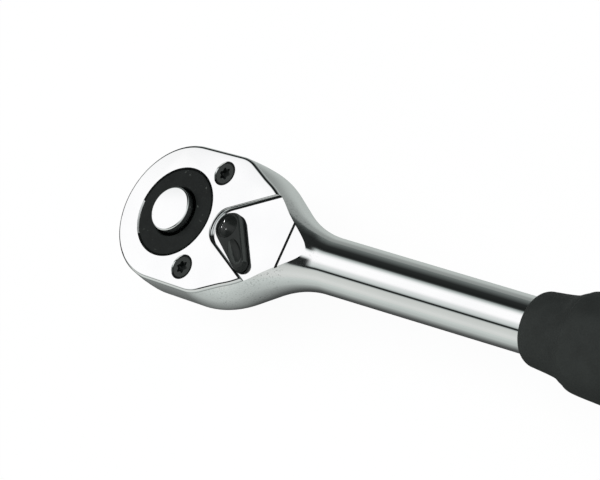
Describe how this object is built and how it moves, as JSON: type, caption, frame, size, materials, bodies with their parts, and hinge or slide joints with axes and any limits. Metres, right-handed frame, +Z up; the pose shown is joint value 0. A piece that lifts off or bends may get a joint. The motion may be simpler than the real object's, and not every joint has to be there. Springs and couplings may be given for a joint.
{
  "type": "reversible ratchet",
  "caption": "Reversible ratchet wrench with a square drive, a quick-release button, a thumb lever and a rubber grip.",
  "frame": {"origin": "middle of the square drive's end face", "axes": "+Z up the drive axis to the lever side, +X along the handle to the grip"},
  "size_m": [0.2581, 0.0436, 0.0408],
  "materials": {
    "chrome": "polished",
    "black_steel": "satin black oxide",
    "bright_steel": "ground",
    "lever_black": "semi-gloss black",
    "rubber": "matte",
    "hard_plastic": "matte"
  },
  "bodies": {
    "handle": {"ratchet_body": "chrome", "cover_plate": "chrome", "cover_screw_left": "black_steel", "cover_screw_right": "black_steel", "gear_seal": "rubber", "grip_core": "hard_plastic", "grip_sleeve": "rubber"},
    "drive": {"drive_gear": "black_steel", "release_spring": "bright_steel"},
    "button": {"release_button": "chrome", "release_pin": "bright_steel"},
    "ball": {"detent_ball": "bright_steel"},
    "lever": {"reversing_lever": "lever_black", "lever_shaft": "lever_black", "lever_seal": "rubber", "pawl_plunger": "bright_steel", "pawl_spring": "bright_steel"},
    "pawl": {"pawl": "bright_steel"}
  },
  "joints": [
    {"name": "drive_turn", "type": "hinge", "parent": "handle", "child": "drive", "pos_m": [0, 0, 0], "axis": [0, 0, 1], "continuous": true},
    {"name": "release_press", "type": "slide", "parent": "drive", "child": "button", "axis": [0, 0, -1], "range_m": [0, 0.0024], "stiffness_N_per_m": 1500, "springref_m": -0.003, "deforming": ["release_spring"]},
    {"name": "ball_retract", "type": "slide", "parent": "drive", "child": "ball", "axis": [0, 1, 0], "range_m": [0, 0.0009]},
    {"name": "lever_swing", "type": "hinge", "parent": "handle", "child": "lever", "pos_m": [0.0226, 0, 0], "axis": [0, 0, 1], "range_deg": [0, 87]},
    {"name": "pawl_shift", "type": "slide", "parent": "handle", "child": "pawl", "axis": [0, -1, 0], "range_m": [0, 0.004]}
  ],
  "couplings": [
    {"joint": "ball_retract", "follows": "release_press", "ratio": 0.375},
    {"joint": "lever_swing", "follows": "pawl_shift", "rad_per_m": 379.6}
  ]
}
